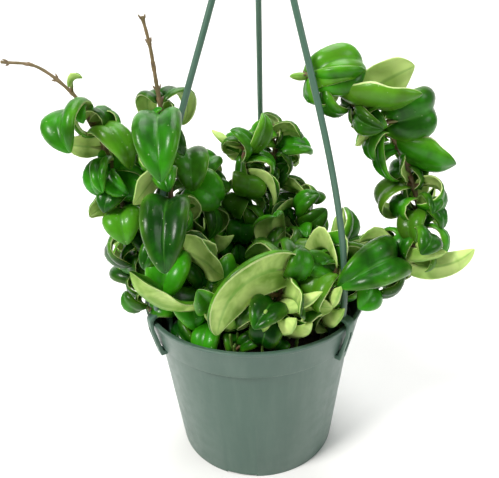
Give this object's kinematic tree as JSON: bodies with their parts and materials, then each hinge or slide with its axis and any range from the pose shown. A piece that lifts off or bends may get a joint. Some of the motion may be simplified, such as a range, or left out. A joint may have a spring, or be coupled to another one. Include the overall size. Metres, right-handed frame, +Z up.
{
  "type": "potted hindu rope hoya",
  "caption": "Rope hoya with thick curled leaves on trailing stems, in a round plastic pot with a three-strand clip-on hanger and hook.",
  "frame": {"origin": "centre of the pot's flat foot, on the pot's axis", "axes": "+Z up along the pot's axis; the picture looks along +Y with +X to the right"},
  "size_m": [0.2816, 0.1614, 0.4266],
  "materials": {
    "pot_plastic": "satin",
    "hanger_plastic": "satin",
    "soil": "matte",
    "foliage": "gloss"
  },
  "bodies": {
    "root": {"pot": "pot_plastic", "soil": "soil", "hanger_hook": "hanger_plastic", "hanger_strand_left": "hanger_plastic", "hanger_strand_back": "hanger_plastic", "hanger_strand_right": "hanger_plastic", "vine_left": "foliage", "vine_mid": "foliage", "vine_mid_b": "foliage", "vine_right": "foliage", "vine_right_front": "foliage", "vine_front": "foliage", "vine_front_left": "foliage", "vine_back_a": "foliage", "vine_back_b": "foliage", "vine_back_c": "foliage", "vine_centre": "foliage", "vine_side_left": "foliage", "vine_back_left": "foliage", "vine_side_right": "foliage"}
  },
  "joints": []
}
